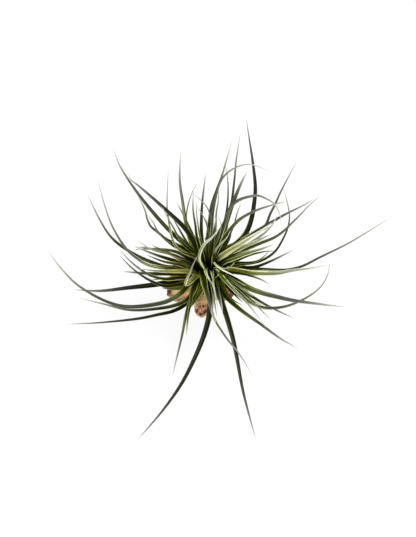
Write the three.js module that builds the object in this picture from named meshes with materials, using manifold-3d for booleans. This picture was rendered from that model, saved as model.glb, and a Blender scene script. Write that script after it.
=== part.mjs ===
// A hybrid air plant: a rosette of narrow channelled leaves, rooted on a chunk of cork bark.
// Millimetres, +Z up. The origin is on the bark's flat underside, straight below the crown.
import * as THREE from "three";
import { mergeVertices } from "three/addons/utils/BufferGeometryUtils.js";
import Module from "manifold-3d";

const wasm = await Module();
wasm.setup();

// Driving dimensions
const CROWN_HEIGHT = 42; // heart of the rosette above the surface that the bark lies on
const VIEW_DISTANCE = 1200; // from the eye to the crown
const VIEW_ELEVATION = THREE.MathUtils.degToRad(61); // the eye looks down on the plant
const SEAT_HEIGHT = 18; // flat seat between the brown stem foot and the green rosette
const FOOT_HEIGHT = 6; // the stem foot's lowest point, sunk in the bark
const FOOT_SIDES = 14;
const STEM_SIDES = 12;
// Radius and height up the foot, and up the stem, which is widest where the leaf sheaths are densest
const FOOT_PROFILE = [[0, FOOT_HEIGHT], [8.5, FOOT_HEIGHT], [7.2, 15], [5.4, SEAT_HEIGHT], [0, SEAT_HEIGHT]];
const STEM_PROFILE = [[0, SEAT_HEIGHT], [4.6, SEAT_HEIGHT], [7.8, 22], [7, 30], [4.8, 35], [0, 37]];
const BASE_SINK = 2; // how far from the stem's axis a leaf starts, well inside the stem
const BASE_HEIGHTS = [20.5, 34]; // where old low leaves and young steep ones leave the stem
const MIDDLE_HEIGHTS = [20, 65]; // the heights halfway along such leaves
const SHEATH_WIDTH = 6.8; // a leaf's clasping base
const SHEATH_SHARE = 1.8; // and the most that it can be, as a share of the blade's width
const SHEATH_LENGTH = 7.5; // distance in which the base narrows to the blade
const TIP_WIDTH = 0.6;
const TIP_BLUNTNESS = 0.8; // below 1, the blade keeps its width longer before the tip
const CHANNEL = 0.24; // how far the blade's edges rise over its middle, as a share of its width
const MIDRIB = 0.62; // least thickness along the middle
const MIDRIB_GROWTH = 0.13; // and what it gains with the blade's width
const LONG_STEPS = 9; // steps along a leaf
const SHORT_STEPS = 5;
const SHORT_LEAF = 105; // a leaf under this length takes the fewer steps
const BARK_THICKNESS = 15;
const BARK_SECTORS = 60;
const LUMP_SPACING = 10; // from one lump of the cork to the next
const LUMP_HEIGHT = 1.1;
const FISSURE_DEPTH = 1.6;
const FISSURE_WIDTH = 0.3; // as a share of the lumps that it runs between
const SURFACE_GAP = 0.3; // between the roots and the bark that they clasp
const MERGE_DISTANCE = 1e-4; // corners nearer than this are one
const ROOT_START = 2; // from the stem's axis
const ROOT_RADIUS = 1.1;
const ROOT_SIDES = 5;
const ROOT_STEPS = 6;
const ROOT_LIFT = 0.8; // of a root's middle over the bark's top
const ROOT_DIP = 1.3; // by which its tip sinks from there

// The leaves that show from the front. Each leaf is drawn as it shows from the eye's place: its route from
// the crown to the tip, in millimetres across and up, then how high it stands above the surface halfway
// along and at its tip, then the width of its blade.
const LEAVES = [
  // Long leaves to the left
  [[[-7, -4], [-13, -9], [-17, -15], [-21, -20], [-28, -24.5], [-37, -27.5], [-65, -29], [-94, -15],
    [-108, -1], [-119, 14]], 40, 60, 4.6],
  [[[-6, -10], [-11, -18], [-17, -25], [-26, -29], [-37, -31], [-58, -32], [-79, -27], [-95, -23]], 30,
    34, 4.4],
  [[[-7, -14], [-14, -24], [-19, -29], [-27, -33], [-38, -35.5], [-50, -38], [-79, -41], [-104, -42]], 21,
    13, 4.0],
  [[[-11, -5], [-18, -8.4], [-25, -10.8], [-36, -13.2], [-58, -15.8], [-79, -18], [-99, -17]], 27, 24,
    6.0],
  [[[-9, -8.5], [-15, -13.6], [-20, -16], [-26, -16.6], [-35, -15.8]], 24, 23, 6.4],
  [[[-14, -1], [-30, -1.5], [-43, 2.5], [-58, 10], [-71, 20], [-79, 32], [-89, 53]], 50, 88, 4.8],
  [[[-22, -3], [-45, 0.5], [-54, 6], [-61, 12.5], [-70, 27], [-75, 40], [-81, 62]], 53, 96, 4.2],
  [[[-22, -9], [-32, -9.8], [-43, -7.2], [-50.5, -2.6], [-58, 3.6], [-66, 13]], 37, 58, 4.6],
  [[[-15, -12], [-32, -14.8], [-43, -10.8], [-50.5, -6.2], [-57.5, -0.5], [-65, 7.5]], 29, 50, 4.2],
  [[[-22, -6], [-43, -6], [-63, -4]], 33, 34, 7.0],
  [[[-18, -4], [-36, -4], [-52, -2]], 40, 45, 4.6],
  [[[-25, 7], [-43, 12], [-53, 19]], 47, 58, 4.4],
  [[[-25, 3], [-37, 7], [-55, 14]], 43, 50, 5.4],
  [[[-22, 9], [-36, 12], [-55, 12]], 44, 38, 4.2],
  [[[-20, 0], [-34, 3], [-46, 8]], 42, 47, 5.8],
  [[[-16, 2], [-28, 8], [-42, 15]], 44, 50, 6.0],
  [[[-16, 0], [-29, 4.5], [-41, 8.5]], 40, 44, 6.0],
  [[[-16, -3], [-29, -1.5], [-39, 2.5]], 36, 38, 6.2],
  [[[-16, -6.5], [-29, -9], [-42, -10]], 28, 27, 5.0],
  // Back left
  [[[-11, 8], [-32, 28], [-49, 48], [-59, 62], [-66, 74], [-70, 86]], 60, 84, 4.8],
  [[[-9, 12], [-17, 25.5], [-32, 40.5], [-53, 59], [-57, 62], [-59, 68]], 66, 82, 5.2],
  [[[-12, 6], [-27, 15], [-37, 23.5], [-43, 28.5], [-45.5, 34], [-47, 40], [-54, 55]], 44, 62, 4.0],
  [[[-14, 9], [-32, 19.5], [-38, 25], [-41, 31], [-46, 38]], 51, 66, 4.4],
  [[[-10, 6], [-20, 10], [-25, 14.5], [-27.5, 20], [-29, 27], [-31, 42], [-30, 71]], 60, 86, 2.8],
  [[[-9, 7], [-20, 16], [-27, 28], [-35, 43]], 57, 76, 3.8],
  [[[-7, 6], [-16, 14.5], [-21, 20], [-26, 25]], 48, 56, 4.6],
  // Back
  [[[-6, 6], [-12.5, 14], [-16, 23], [-18, 32], [-20, 46], [-22, 62], [-21, 85]], 58, 66, 4.4],
  [[[-9, 12], [-17, 32], [-14, 50], [-8, 62]], 50, 66, 2.4],
  [[[-6, 8], [-9.5, 19], [-11, 30], [-12.5, 41], [-12, 55]], 64, 80, 4.0],
  [[[-4, 8], [-7, 18], [-9, 30], [-10, 40], [-9.5, 48]], 70, 86, 3.0],
  [[[-4, 8], [-6, 19], [-6, 40], [-3, 68]], 58, 72, 3.8],
  [[[0, 14], [1, 30], [-2, 42], [-13, 53]], 80, 94, 2.4],
  [[[-2, 12], [-1, 24], [-5, 36], [-10, 44]], 74, 86, 2.2],
  [[[3, 12], [7, 22], [8, 30], [5, 37]], 78, 86, 2.4],
  [[[-2, 10], [-2, 19], [-0.5, 33], [1, 44], [5, 56], [8, 64], [11, 74], [16, 91]], 80, 102, 4.2],
  [[[1, 8], [2.5, 19], [4, 27], [4.5, 38], [6, 48], [6, 58]], 66, 82, 2.8],
  [[[1.5, 10], [2.5, 20], [3.5, 28], [4.5, 36]], 68, 78, 5.0],
  [[[1, 14], [3, 44], [9, 63], [19, 71], [29, 73], [45, 67]], 88, 82, 3.0],
  [[[4, 12], [9, 26], [14.5, 40], [17.5, 60], [19, 76], [22, 96]], 58, 74, 3.2],
  [[[5, 14], [12, 39], [13, 60], [11, 74]], 62, 78, 2.8],
  [[[1.5, 7], [3.5, 14.5], [7, 22.5], [11.5, 32], [15, 42], [18, 49.5], [22, 59], [27.5, 70]], 64, 74,
    6.8],
  [[[7, 6], [14, 12], [19.5, 16], [24, 20.5], [27.5, 26], [30.5, 35], [32, 44], [33, 55], [32, 68],
    [26, 107]], 56, 84, 5.4],
  // Back right
  [[[-6.5, 1], [-8.4, 6], [-7, 12], [-4, 16.5], [1, 20.5], [6.5, 27.5]], 70, 96, 5.6],
  [[[3, 10], [7, 20], [11, 31], [15.8, 43], [21.6, 47.5], [28.8, 49.7], [34.6, 50.4], [40.3, 48.2],
    [46, 44.6], [49.8, 38], [51, 31]], 84, 78, 4.9],
  [[[4, 9], [10.5, 20.5], [16, 28], [21.5, 33.5], [30, 38.5], [42, 43], [58, 47]], 66, 76, 4.2],
  [[[8, 15], [17, 29], [20, 39], [23, 46]], 56, 66, 3.2],
  [[[4, 6], [9, 14], [14, 22], [18, 30]], 44, 50, 6.4],
  [[[5, 6], [9, 12], [13, 18], [15.5, 23]], 42, 46, 6.4],
  [[[5, 5], [10, 11], [15, 15.5], [19, 16.5]], 38, 40, 6.0],
  [[[6.5, 4], [13, 9.5], [22, 15.5], [31, 21.5], [38, 26], [45, 31.5]], 56, 70, 6.4],
  [[[7, 6], [22, 17], [34, 25.5], [40.3, 29.5], [43.2, 36.7], [46.8, 43.9], [51, 53.3], [57, 65],
    [63, 76]], 56, 84, 3.6],
  [[[7, 7], [14.4, 12.8], [26, 20.5], [37.4, 27.2], [48, 33.6], [56, 38], [68, 44], [76, 49]], 50, 74,
    4.4],
  [[[8, 3.5], [16, 8], [29, 13], [37.5, 16.5], [47, 20.5], [54, 25.5], [58, 29.5], [65, 36.5], [72, 44],
    [80, 51]], 56, 84, 4.4],
  [[[9, 5], [22, 12], [34, 19.5], [43, 27], [49, 37]], 56, 76, 4.8],
  [[[8, 5], [18.5, 11], [29, 15.5], [37.5, 19.5], [46, 24]], 54, 66, 6.2],
  [[[9, 2], [20, 6.5], [30, 10], [38, 12.5], [47, 16]], 49, 60, 6.4],
  [[[8, 2.5], [17, 8], [28, 11.5]], 52, 60, 3.6],
  [[[10, 0], [22, 1], [37, 3.5], [47, 10], [52.5, 18.5], [56.5, 28], [57.5, 36], [56, 45], [52.5, 57]],
    50, 90, 3.8],
  [[[14, -2], [32, -1], [43, 3], [61, 12]], 38, 50, 4.2],
  [[[14, 1], [33, 3], [38, 6], [44, 12]], 45, 56, 3.4],
  // Right
  [[[11, -1.5], [22, -2], [38, -2.5], [55, -3], [66, -0.5], [79, 6], [101, 17], [130, 35]], 46, 76, 3.2],
  [[[11, -4], [32, -6], [50, -5.5], [58, -4], [72, -2], [86, 1]], 43, 52, 6.6],
  [[[9, -11], [22, -22], [37, -30], [52, -30], [68, -24], [80, -15], [85, -6], [86.5, 3]], 30, 56, 4.3],
  [[[8, -4], [16, -9.5], [29, -17], [37.5, -20], [47, -22.5], [58, -25], [72, -27], [100, -30]], 40, 28,
    6.4],
  [[[2.5, 2.2], [4.3, 0.7], [8.6, -2.8], [16, -6.5], [25, -11.5], [31, -15]], 70, 88, 1.6],
  [[[10, -8], [19, -14], [30, -22], [42, -29], [61, -38]], 27, 18, 4.2],
  [[[4, -2.5], [7, -6], [11.5, -11.5], [17, -17.5], [22, -22.5], [27.5, -28], [33, -35], [41, -45]], 64,
    70, 3.6],
  [[[5, -14], [12, -23], [22, -32], [36, -42], [50, -52], [64, -60]], 21, 9, 4.8],
  [[[12, -10], [29, -24], [39, -34], [45, -40]], 48, 52, 3.4],
  [[[5, -4], [14, -8.5], [26, -14.5]], 60, 66, 3.4],
  [[[6, -6], [18, -13], [31, -22]], 56, 64, 3.6],
  [[[10, -5], [24, -6], [37, -10], [44, -14]], 50, 54, 3.8],
  [[[6, -10], [16, -24], [24, -29]], 44, 48, 3.0],
  [[[7, -8.5], [13.5, -16], [19.5, -22.5], [24, -26.5]], 36, 38, 3.2],
  [[[7, -8], [14, -14], [22, -19.5], [30, -24.5], [38, -28.5]], 40, 40, 3.6],
  // Front
  [[[4.5, -10], [6, -18], [9, -28], [12.6, -39], [17.5, -57], [24, -91], [33, -125]], 34, 6, 5.0],
  [[[0, -14], [0, -32], [-3, -46], [-9, -62], [-20, -84], [-34, -104], [-53, -126]], 29, 5, 5.0],
  [[[-6, -12], [-12, -21], [-15.5, -29], [-17.5, -37], [-20, -50], [-27, -79]], 25, 8, 3.6],
  [[[-5, -6], [-10, -12.5], [-13, -19], [-14, -27], [-15.5, -35], [-17, -50]], 31, 22, 4.4],
  [[[-3, -9], [-8, -18], [-12, -25], [-14.8, -32], [-16.6, -39]], 30, 22, 5.8],
  [[[-0.5, 0], [-3.6, -1.8], [-3.4, -5.5], [-1, -9.8], [1.5, -13], [3, -18], [4.3, -24], [5.6, -31]], 56,
    60, 3.8],
  [[[1, -3.5], [2, -8], [2.6, -13], [3.2, -18]], 60, 66, 2.8],
  [[[-5, -6], [-4.5, -13], [-2, -22], [1, -32], [4.5, -41]], 50, 46, 7.0],
  [[[-3, -10], [0, -28], [4, -40], [9, -48], [14, -55], [20, -62], [32, -81]], 44, 40, 2.8],
  [[[1, -10], [2.5, -22], [5, -37]], 44, 46, 3.2],
  [[[1, -10], [2, -24], [1, -34]], 52, 54, 2.8],
  [[[2.5, -8], [5.8, -20], [9, -34]], 56, 60, 6.6],
  [[[4, -9], [6.5, -18], [8.3, -27], [9, -32]], 60, 64, 2.2],
  [[[-3.6, -5.8], [-4.9, -13], [-7.2, -18.7], [-11, -25], [-15.5, -32]], 30, 22, 5.8],
  [[[-4, -6.5], [-4, -13], [-4.4, -17], [-5, -21.5]], 32, 26, 6.4],
  [[[-5, -2], [-10, -6.5], [-15, -11.5], [-18.5, -13.6], [-17.6, -10], [-14.8, -4.5], [-12.5, 1],
    [-9.3, 6.8]], 38, 56, 5.6],
  // Young leaves round the heart
  [[[1.8, 7.5], [4.3, 11.5], [8.6, 16.6], [12.2, 20.2], [14.4, 25.2]], 64, 82, 3.2],
  [[[4, -1], [10, -2], [14.5, -1], [18, 3]], 56, 65, 2.4],
  [[[4, -2.5], [6.4, -4.5], [5.6, -7], [3.6, -8.6]], 47, 50, 2.2],
];

// Leaves that the front view hides: a low row behind the crown, and short ones filling the crown
const LOW_ROW = {
  count: 7, start: 30, sweep: 130, reach: [56, 80], shoulder: 22, follow: 1 / 3, tip: [12, 30], width: 3.6,
  bend: 12,
};
const CROWN_FILL = {
  count: 8, start: 22, sweep: 136, reach: [20, 28], droop: 4, tip: [38, 50], width: 4.8, bend: 3,
};
const PLANNED_SHARES = [0, 0.22, 0.5, 0.78, 1]; // where such a leaf's route has its points
const STRAY = 0.5; // how far it may stray from its even place, as a share of the step to the next
const SEED = 20260753;

// The bark's outline seen from above, anticlockwise from its front lobe, and the middle that it is fullest at
const BARK_OUTLINE = [
  [-6, -22], [-2, -19], [0.5, -11], [3, -7.5], [8, -6.5], [14, -7], [18, -3], [16, 5], [17, 14], [15, 22],
  [8, 27], [0, 29], [-8, 28], [-17, 27], [-25, 21], [-30, 14], [-29, 7], [-32, 1], [-30.5, -6], [-24, -8.5],
  [-17, -6.5], [-13, -8], [-11.5, -13], [-10.5, -19],
];
const BARK_MIDDLE = [-6, 7];
// Its profile from the middle of the top, over the rim and under to the flat underside: share of the
// outline's reach, and height in millimetres
const BARK_PROFILE = [
  [0.15, 15], [0.3, 15], [0.45, 14.8], [0.58, 14.4], [0.7, 13.8], [0.8, 13], [0.88, 11.6], [0.95, 9],
  [1, 5.5], [0.97, 2], [0.92, 0],
];
// Directions in degrees, lengths and bends of the wiry roots
const ROOTS = [
  [-104, 12, 2], [-168, 20, -5], [-12, 10, 3], [48, 15, -4], [104, 19, 5], [160, 22, 5],
];

function randomFrom(seed) {
  // Draws even numbers from 0 to 1, the same run every time
  let state = seed;
  return () => {
    state = (state + 0x6d2b79f5) | 0;
    let mixed = Math.imul(state ^ (state >>> 15), 1 | state);
    mixed = (mixed + Math.imul(mixed ^ (mixed >>> 7), 61 | mixed)) ^ mixed;
    return ((mixed ^ (mixed >>> 14)) >>> 0) / 4294967296;
  };
}

function seen(across, up, height) {
  // The point at a height that shows at a place of the front view, perspective included
  const sine = Math.sin(VIEW_ELEVATION);
  const cosine = Math.cos(VIEW_ELEVATION);
  const rise = height - CROWN_HEIGHT;
  const back = (up * (VIEW_DISTANCE - rise * sine) / VIEW_DISTANCE - rise * cosine) /
    (sine - up * cosine / VIEW_DISTANCE);
  const nearer = rise * sine - back * cosine;
  return new THREE.Vector3(across * (VIEW_DISTANCE - nearer) / VIEW_DISTANCE, back, height);
}

function leafBaseHeight(middleHeight) {
  // Old leaves that stay low grow from the bottom of the stem, and young steep ones from its top
  const height = THREE.MathUtils.clamp(middleHeight, ...MIDDLE_HEIGHTS);
  return THREE.MathUtils.mapLinear(height, ...MIDDLE_HEIGHTS, ...BASE_HEIGHTS);
}

function arc(from, middle, to, share) {
  // The parabola through three heights at the start, the middle and the end
  const slope = 4 * middle - 3 * from - to;
  const bend = 2 * from + 2 * to - 4 * middle;
  return from + slope * share + bend * share * share;
}

function drawnLeaf([route, middleHeight, tipHeight, width]) {
  // Lifts a leaf's drawn route into space
  const baseHeight = leafBaseHeight(middleHeight);
  const flat = [new THREE.Vector2(0, (baseHeight - CROWN_HEIGHT) * Math.cos(VIEW_ELEVATION))];
  route.forEach(([across, up]) => flat.push(new THREE.Vector2(across, up)));
  const runs = [0];
  for (let i = 1; i < flat.length; i++) {
    runs.push(runs[i - 1] + flat[i].distanceTo(flat[i - 1]));
  }
  const length = runs[runs.length - 1];
  const points = flat.slice(1).map((place, i) =>
    seen(place.x, place.y, arc(baseHeight, middleHeight, tipHeight, runs[i + 1] / length)));
  const lean = new THREE.Vector2(points[0].x + points[1].x, points[0].y + points[1].y).normalize();
  points.unshift(new THREE.Vector3(lean.x * BASE_SINK, lean.y * BASE_SINK, baseHeight));
  return { points, width, lean };
}

function plannedLeaf(azimuth, reach, middleHeight, tipHeight, width, bend) {
  // A leaf that leaves the stem at an azimuth, in degrees, and arches to its tip with a bend to one side
  const baseHeight = leafBaseHeight(middleHeight);
  const angle = THREE.MathUtils.degToRad(azimuth);
  const lean = new THREE.Vector2(Math.cos(angle), Math.sin(angle));
  const points = PLANNED_SHARES.map((share) => {
    const out = BASE_SINK + (reach - BASE_SINK) * share;
    const aside = bend * share * share;
    return new THREE.Vector3(
      lean.x * out - lean.y * aside, lean.y * out + lean.x * aside,
      arc(baseHeight, middleHeight, tipHeight, share));
  });
  return { points, width, lean };
}

function hiddenLeaves() {
  const random = randomFrom(SEED);
  const between = ([low, high]) => low + (high - low) * random();
  const leaves = [];
  for (let i = 0; i < LOW_ROW.count; i++) {
    const azimuth = LOW_ROW.start + LOW_ROW.sweep * (i + STRAY * random()) / LOW_ROW.count;
    const tip = between(LOW_ROW.tip);
    const reach = between(LOW_ROW.reach);
    const bend = between([-LOW_ROW.bend, LOW_ROW.bend]);
    const middle = LOW_ROW.shoulder + LOW_ROW.follow * tip;
    leaves.push(plannedLeaf(azimuth, reach, middle, tip, LOW_ROW.width, bend));
  }
  for (let i = 0; i < CROWN_FILL.count; i++) {
    const azimuth = CROWN_FILL.start + CROWN_FILL.sweep * (i + STRAY * random()) / CROWN_FILL.count;
    const tip = between(CROWN_FILL.tip);
    const reach = between(CROWN_FILL.reach);
    const bend = between([-CROWN_FILL.bend, CROWN_FILL.bend]);
    leaves.push(plannedLeaf(azimuth, reach, tip - CROWN_FILL.droop, tip, CROWN_FILL.width, bend));
  }
  return leaves;
}

function solidOf(vertices, triangles) {
  // A closed solid from corner points and triangles, turned outwards
  const vertProperties = new Float32Array(vertices.length * 3);
  vertices.forEach((v, i) => vertProperties.set([v.x, v.y, v.z], 3 * i));
  let volume = 0;
  for (const [a, b, c] of triangles) {
    volume += vertices[a].dot(new THREE.Vector3().crossVectors(vertices[b], vertices[c]));
  }
  const turned = volume < 0 ? triangles.map(([a, b, c]) => [a, c, b]) : triangles;
  return new wasm.Manifold(new wasm.Mesh({
    numProp: 3, vertProperties, triVerts: new Uint32Array(turned.flat()),
  }));
}

function solidOfGeometry(geometry) {
  // A closed solid from one of the standard geometries
  geometry.deleteAttribute("normal");
  geometry.deleteAttribute("uv");
  const merged = mergeVertices(geometry, MERGE_DISTANCE);
  return new wasm.Manifold(new wasm.Mesh({
    numProp: 3,
    vertProperties: new Float32Array(merged.attributes.position.array),
    triVerts: new Uint32Array(merged.index.array),
  }));
}

function leafWidth(width, length, share) {
  // The blade tapers to a thread, and widens to a clasping sheath at its base
  const blade = TIP_WIDTH + (width - TIP_WIDTH) * Math.pow(1 - share, TIP_BLUNTNESS);
  const sheath = Math.min(SHEATH_WIDTH, SHEATH_SHARE * width);
  return blade + (sheath - blade) * Math.exp(-Math.pow(share * length / SHEATH_LENGTH, 2));
}

function leafSolid({ points, width, lean }) {
  // A folded blade: at each step a flat chevron of two edges, the groove between them and the keel below
  const curve = new THREE.CatmullRomCurve3(points, false, "centripetal");
  const length = curve.getLength();
  const steps = Math.max(length < SHORT_LEAF ? SHORT_STEPS : LONG_STEPS, points.length);
  const vertices = [];
  const triangles = [];
  const side = new THREE.Vector3(-lean.y, lean.x, 0);
  for (let i = 0; i < steps; i++) {
    const share = i / steps;
    const place = curve.getPointAt(share);
    const along = curve.getTangentAt(share);
    side.addScaledVector(along, -side.dot(along)).normalize();
    const above = new THREE.Vector3().crossVectors(along, side);
    const across = leafWidth(width, length, share);
    const thickness = MIDRIB + MIDRIB_GROWTH * across;
    const at = (sideways, upwards) =>
      place.clone().addScaledVector(side, sideways).addScaledVector(above, upwards);
    vertices.push(
      at(across / 2, CHANNEL * across), at(0, thickness / 2),
      at(-across / 2, CHANNEL * across), at(0, -thickness / 2));
  }
  const tip = vertices.push(curve.getPointAt(1)) - 1;
  // Both faces of each half blade are split from its edge, so that they never cross
  for (let i = 0; i < steps - 1; i++) {
    const near = 4 * i;
    const far = near + 4;
    for (const [edge, middle, order] of [[0, 1, 1], [2, 1, -1], [2, 3, 1], [0, 3, -1]]) {
      const pair = [
        [near + edge, near + middle, far + middle],
        [near + edge, far + middle, far + edge],
      ];
      triangles.push(...(order > 0 ? pair : pair.map(([a, b, c]) => [a, c, b])));
    }
  }
  const last = 4 * (steps - 1);
  triangles.push([1, 0, 2], [3, 2, 0]);
  for (let corner = 0; corner < 4; corner++) {
    triangles.push([last + corner, last + (corner + 1) % 4, tip]);
  }
  return solidOf(vertices, triangles);
}

function ringedSolid(rings) {
  // Rings of equal count joined one to the next, with the first and the last closed at their middles
  const count = rings[0].length;
  const vertices = rings.flat();
  const triangles = [];
  for (let r = 0; r < rings.length - 1; r++) {
    for (let i = 0; i < count; i++) {
      const a = r * count + i;
      const b = r * count + (i + 1) % count;
      triangles.push([a, b, b + count], [a, b + count, a + count]);
    }
  }
  const middle = (ring) => ring.reduce((sum, v) => sum.add(v), new THREE.Vector3()).divideScalar(count);
  const first = vertices.push(middle(rings[0])) - 1;
  const last = vertices.push(middle(rings[rings.length - 1])) - 1;
  const lastRing = (rings.length - 1) * count;
  for (let i = 0; i < count; i++) {
    const next = (i + 1) % count;
    triangles.push([first, next, i], [last, lastRing + i, lastRing + next]);
  }
  return solidOf(vertices, triangles);
}

function barkLumps(x, y) {
  // Lumps of the cork from three crossing waves, less the fissures that wander between them
  const across = Math.PI * x / LUMP_SPACING;
  const along = Math.PI * y / LUMP_SPACING;
  const lumps = Math.sin(across + 0.9) * Math.cos(0.85 * along - 0.4) +
    0.8 * Math.sin(1.5 * across + 1.15 * along) + 0.65 * Math.cos(2.1 * along - 1.05 * across + 1.2);
  const fissure = Math.sin(0.8 * across + 0.4 * along + 0.8 * Math.sin(0.65 * along)) / FISSURE_WIDTH;
  return LUMP_HEIGHT * lumps - FISSURE_DEPTH * Math.exp(-fissure * fissure);
}

function barkOutline() {
  const corners = BARK_OUTLINE.map(([x, y]) => new THREE.Vector3(x, y, 0));
  const outline = new THREE.CatmullRomCurve3(corners, true, "centripetal").getSpacedPoints(BARK_SECTORS);
  return outline.slice(0, BARK_SECTORS);
}

function barkTop(x, y) {
  // The height of the bark's top at a place, from how far out it lies on the way to the outline
  const away = new THREE.Vector2(x - BARK_MIDDLE[0], y - BARK_MIDDLE[1]);
  const outline = barkOutline().map((corner) =>
    new THREE.Vector2(corner.x - BARK_MIDDLE[0], corner.y - BARK_MIDDLE[1]));
  let reach = 0;
  outline.forEach((from, i) => {
    const to = outline[(i + 1) % BARK_SECTORS];
    if (away.cross(from) <= 0 && away.cross(to) > 0) {
      const side = to.clone().sub(from);
      reach = away.cross(side) / from.cross(side);
    }
  });
  const outer = BARK_PROFILE.findIndex(([share]) => share >= reach);
  const [far, farHeight] = BARK_PROFILE[outer];
  const [near, nearHeight] = BARK_PROFILE[Math.max(outer - 1, 0)];
  const share = far > near ? (reach - near) / (far - near) : 0;
  const height = nearHeight + (farHeight - nearHeight) * share;
  return height + barkLumps(x, y) * height / BARK_THICKNESS;
}

function barkRings(raise) {
  // The outline shrunk towards its middle at each step of the profile, with the top raised by an amount
  const outline = barkOutline();
  return BARK_PROFILE.map(([reach, height]) => outline.map((corner) => {
    const x = BARK_MIDDLE[0] + (corner.x - BARK_MIDDLE[0]) * reach;
    const y = BARK_MIDDLE[1] + (corner.y - BARK_MIDDLE[1]) * reach;
    const lumps = barkLumps(x, y) * height / BARK_THICKNESS;
    return new THREE.Vector3(x, y, height > 0 ? height + lumps + raise : 0);
  }));
}

function barkSolid() {
  return ringedSolid(barkRings(0));
}

function rootSolid([azimuth, length, bend]) {
  // A wiry root that runs from the stem foot along the top of the bark and ends in a fine tip
  const angle = THREE.MathUtils.degToRad(azimuth);
  const points = Array.from({ length: ROOT_STEPS }, (_, i) => {
    const share = i / (ROOT_STEPS - 1);
    const out = ROOT_START + (length - ROOT_START) * share;
    const aside = bend * share * share;
    const x = Math.cos(angle) * out - Math.sin(angle) * aside;
    const y = Math.sin(angle) * out + Math.cos(angle) * aside;
    const middle = barkTop(x, y) + ROOT_LIFT - ROOT_DIP * share * share * share;
    return new THREE.Vector3(x, y, Math.min(middle, SEAT_HEIGHT - ROOT_RADIUS - SURFACE_GAP));
  });
  const section = new THREE.Shape();
  for (let i = 0; i < ROOT_SIDES; i++) {
    const turn = 2 * Math.PI * i / ROOT_SIDES;
    section.lineTo(ROOT_RADIUS * Math.cos(turn), ROOT_RADIUS * Math.sin(turn));
  }
  return solidOfGeometry(new THREE.ExtrudeGeometry(section, {
    steps: ROOT_STEPS, extrudePath: new THREE.CatmullRomCurve3(points), bevelEnabled: false,
  }));
}

function lathe(profile, sides) {
  const geometry = new THREE.LatheGeometry(profile.map(([r, z]) => new THREE.Vector2(r, z)), sides);
  return solidOfGeometry(geometry.rotateX(Math.PI / 2));
}

function largestBody(solid) {
  // Drops any loose scrap that a cut leaves
  return solid.decompose().sort((a, b) => b.volume() - a.volume())[0];
}

function stemAndRootsSolid() {
  const foot = lathe(FOOT_PROFILE, FOOT_SIDES);
  const joined = ROOTS.map(rootSolid).reduce((whole, root) => whole.add(root), foot);
  return largestBody(joined.subtract(ringedSolid(barkRings(SURFACE_GAP))));
}

function rosetteSolid() {
  const stem = lathe(STEM_PROFILE, STEM_SIDES);
  const leaves = [...LEAVES.map(drawnLeaf), ...hiddenLeaves()];
  return largestBody(leaves.map(leafSolid).reduce((whole, leaf) => whole.add(leaf), stem));
}

function meshOf(name, solid, color, roughness) {
  const { vertProperties, triVerts } = solid.getMesh();
  const geometry = new THREE.BufferGeometry();
  geometry.setAttribute("position", new THREE.BufferAttribute(new Float32Array(vertProperties), 3));
  geometry.setIndex(new THREE.BufferAttribute(new Uint32Array(triVerts), 1));
  geometry.computeVertexNormals();
  const mesh = new THREE.Mesh(geometry, new THREE.MeshStandardMaterial({ color, roughness, metalness: 0 }));
  mesh.name = name;
  return mesh;
}

const airPlant = new THREE.Group();
airPlant.add(meshOf("cork_bark", barkSolid(), "#b5804f", 0.95));
airPlant.add(meshOf("stem_and_roots", stemAndRootsSolid(), "#5b4632", 0.85));
airPlant.add(meshOf("leaf_rosette", rosetteSolid(), "#56662f", 0.6));

export default airPlant;
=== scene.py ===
# A hybrid air plant: a rosette of narrow, silver-bloomed leaves, rooted on a chunk of cork bark.
# Shapes are worked out in millimetres, and turned to metres where a mesh is made.
import math

import bpy
import numpy as np
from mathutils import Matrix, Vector


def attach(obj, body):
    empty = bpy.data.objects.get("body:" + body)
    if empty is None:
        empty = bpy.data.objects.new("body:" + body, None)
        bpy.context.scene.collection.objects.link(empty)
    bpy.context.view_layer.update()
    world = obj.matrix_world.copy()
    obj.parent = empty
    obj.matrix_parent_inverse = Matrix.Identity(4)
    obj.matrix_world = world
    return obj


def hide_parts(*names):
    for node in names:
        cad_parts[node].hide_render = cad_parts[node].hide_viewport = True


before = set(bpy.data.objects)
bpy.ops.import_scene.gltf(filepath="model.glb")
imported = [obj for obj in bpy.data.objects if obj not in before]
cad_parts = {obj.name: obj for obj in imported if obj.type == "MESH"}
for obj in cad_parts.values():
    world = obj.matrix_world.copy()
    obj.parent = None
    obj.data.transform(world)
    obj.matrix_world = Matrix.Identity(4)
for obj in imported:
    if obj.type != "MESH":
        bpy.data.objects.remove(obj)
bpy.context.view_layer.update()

MM = 0.001

# The photograph's frame and view
IMAGE_WIDTH = 416
IMAGE_HEIGHT = 537
PIXEL_SIZE = 0.72  # millimetres that a pixel covers at the crown
CROWN_PIXEL = (210, 266)
CROWN_HEIGHT = 42  # heart of the rosette above the surface that the bark lies on
VIEW_DISTANCE = 1200  # from the eye to the crown
VIEW_ELEVATION = math.radians(61)  # looking down on the plant
SENSOR = 36

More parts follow.
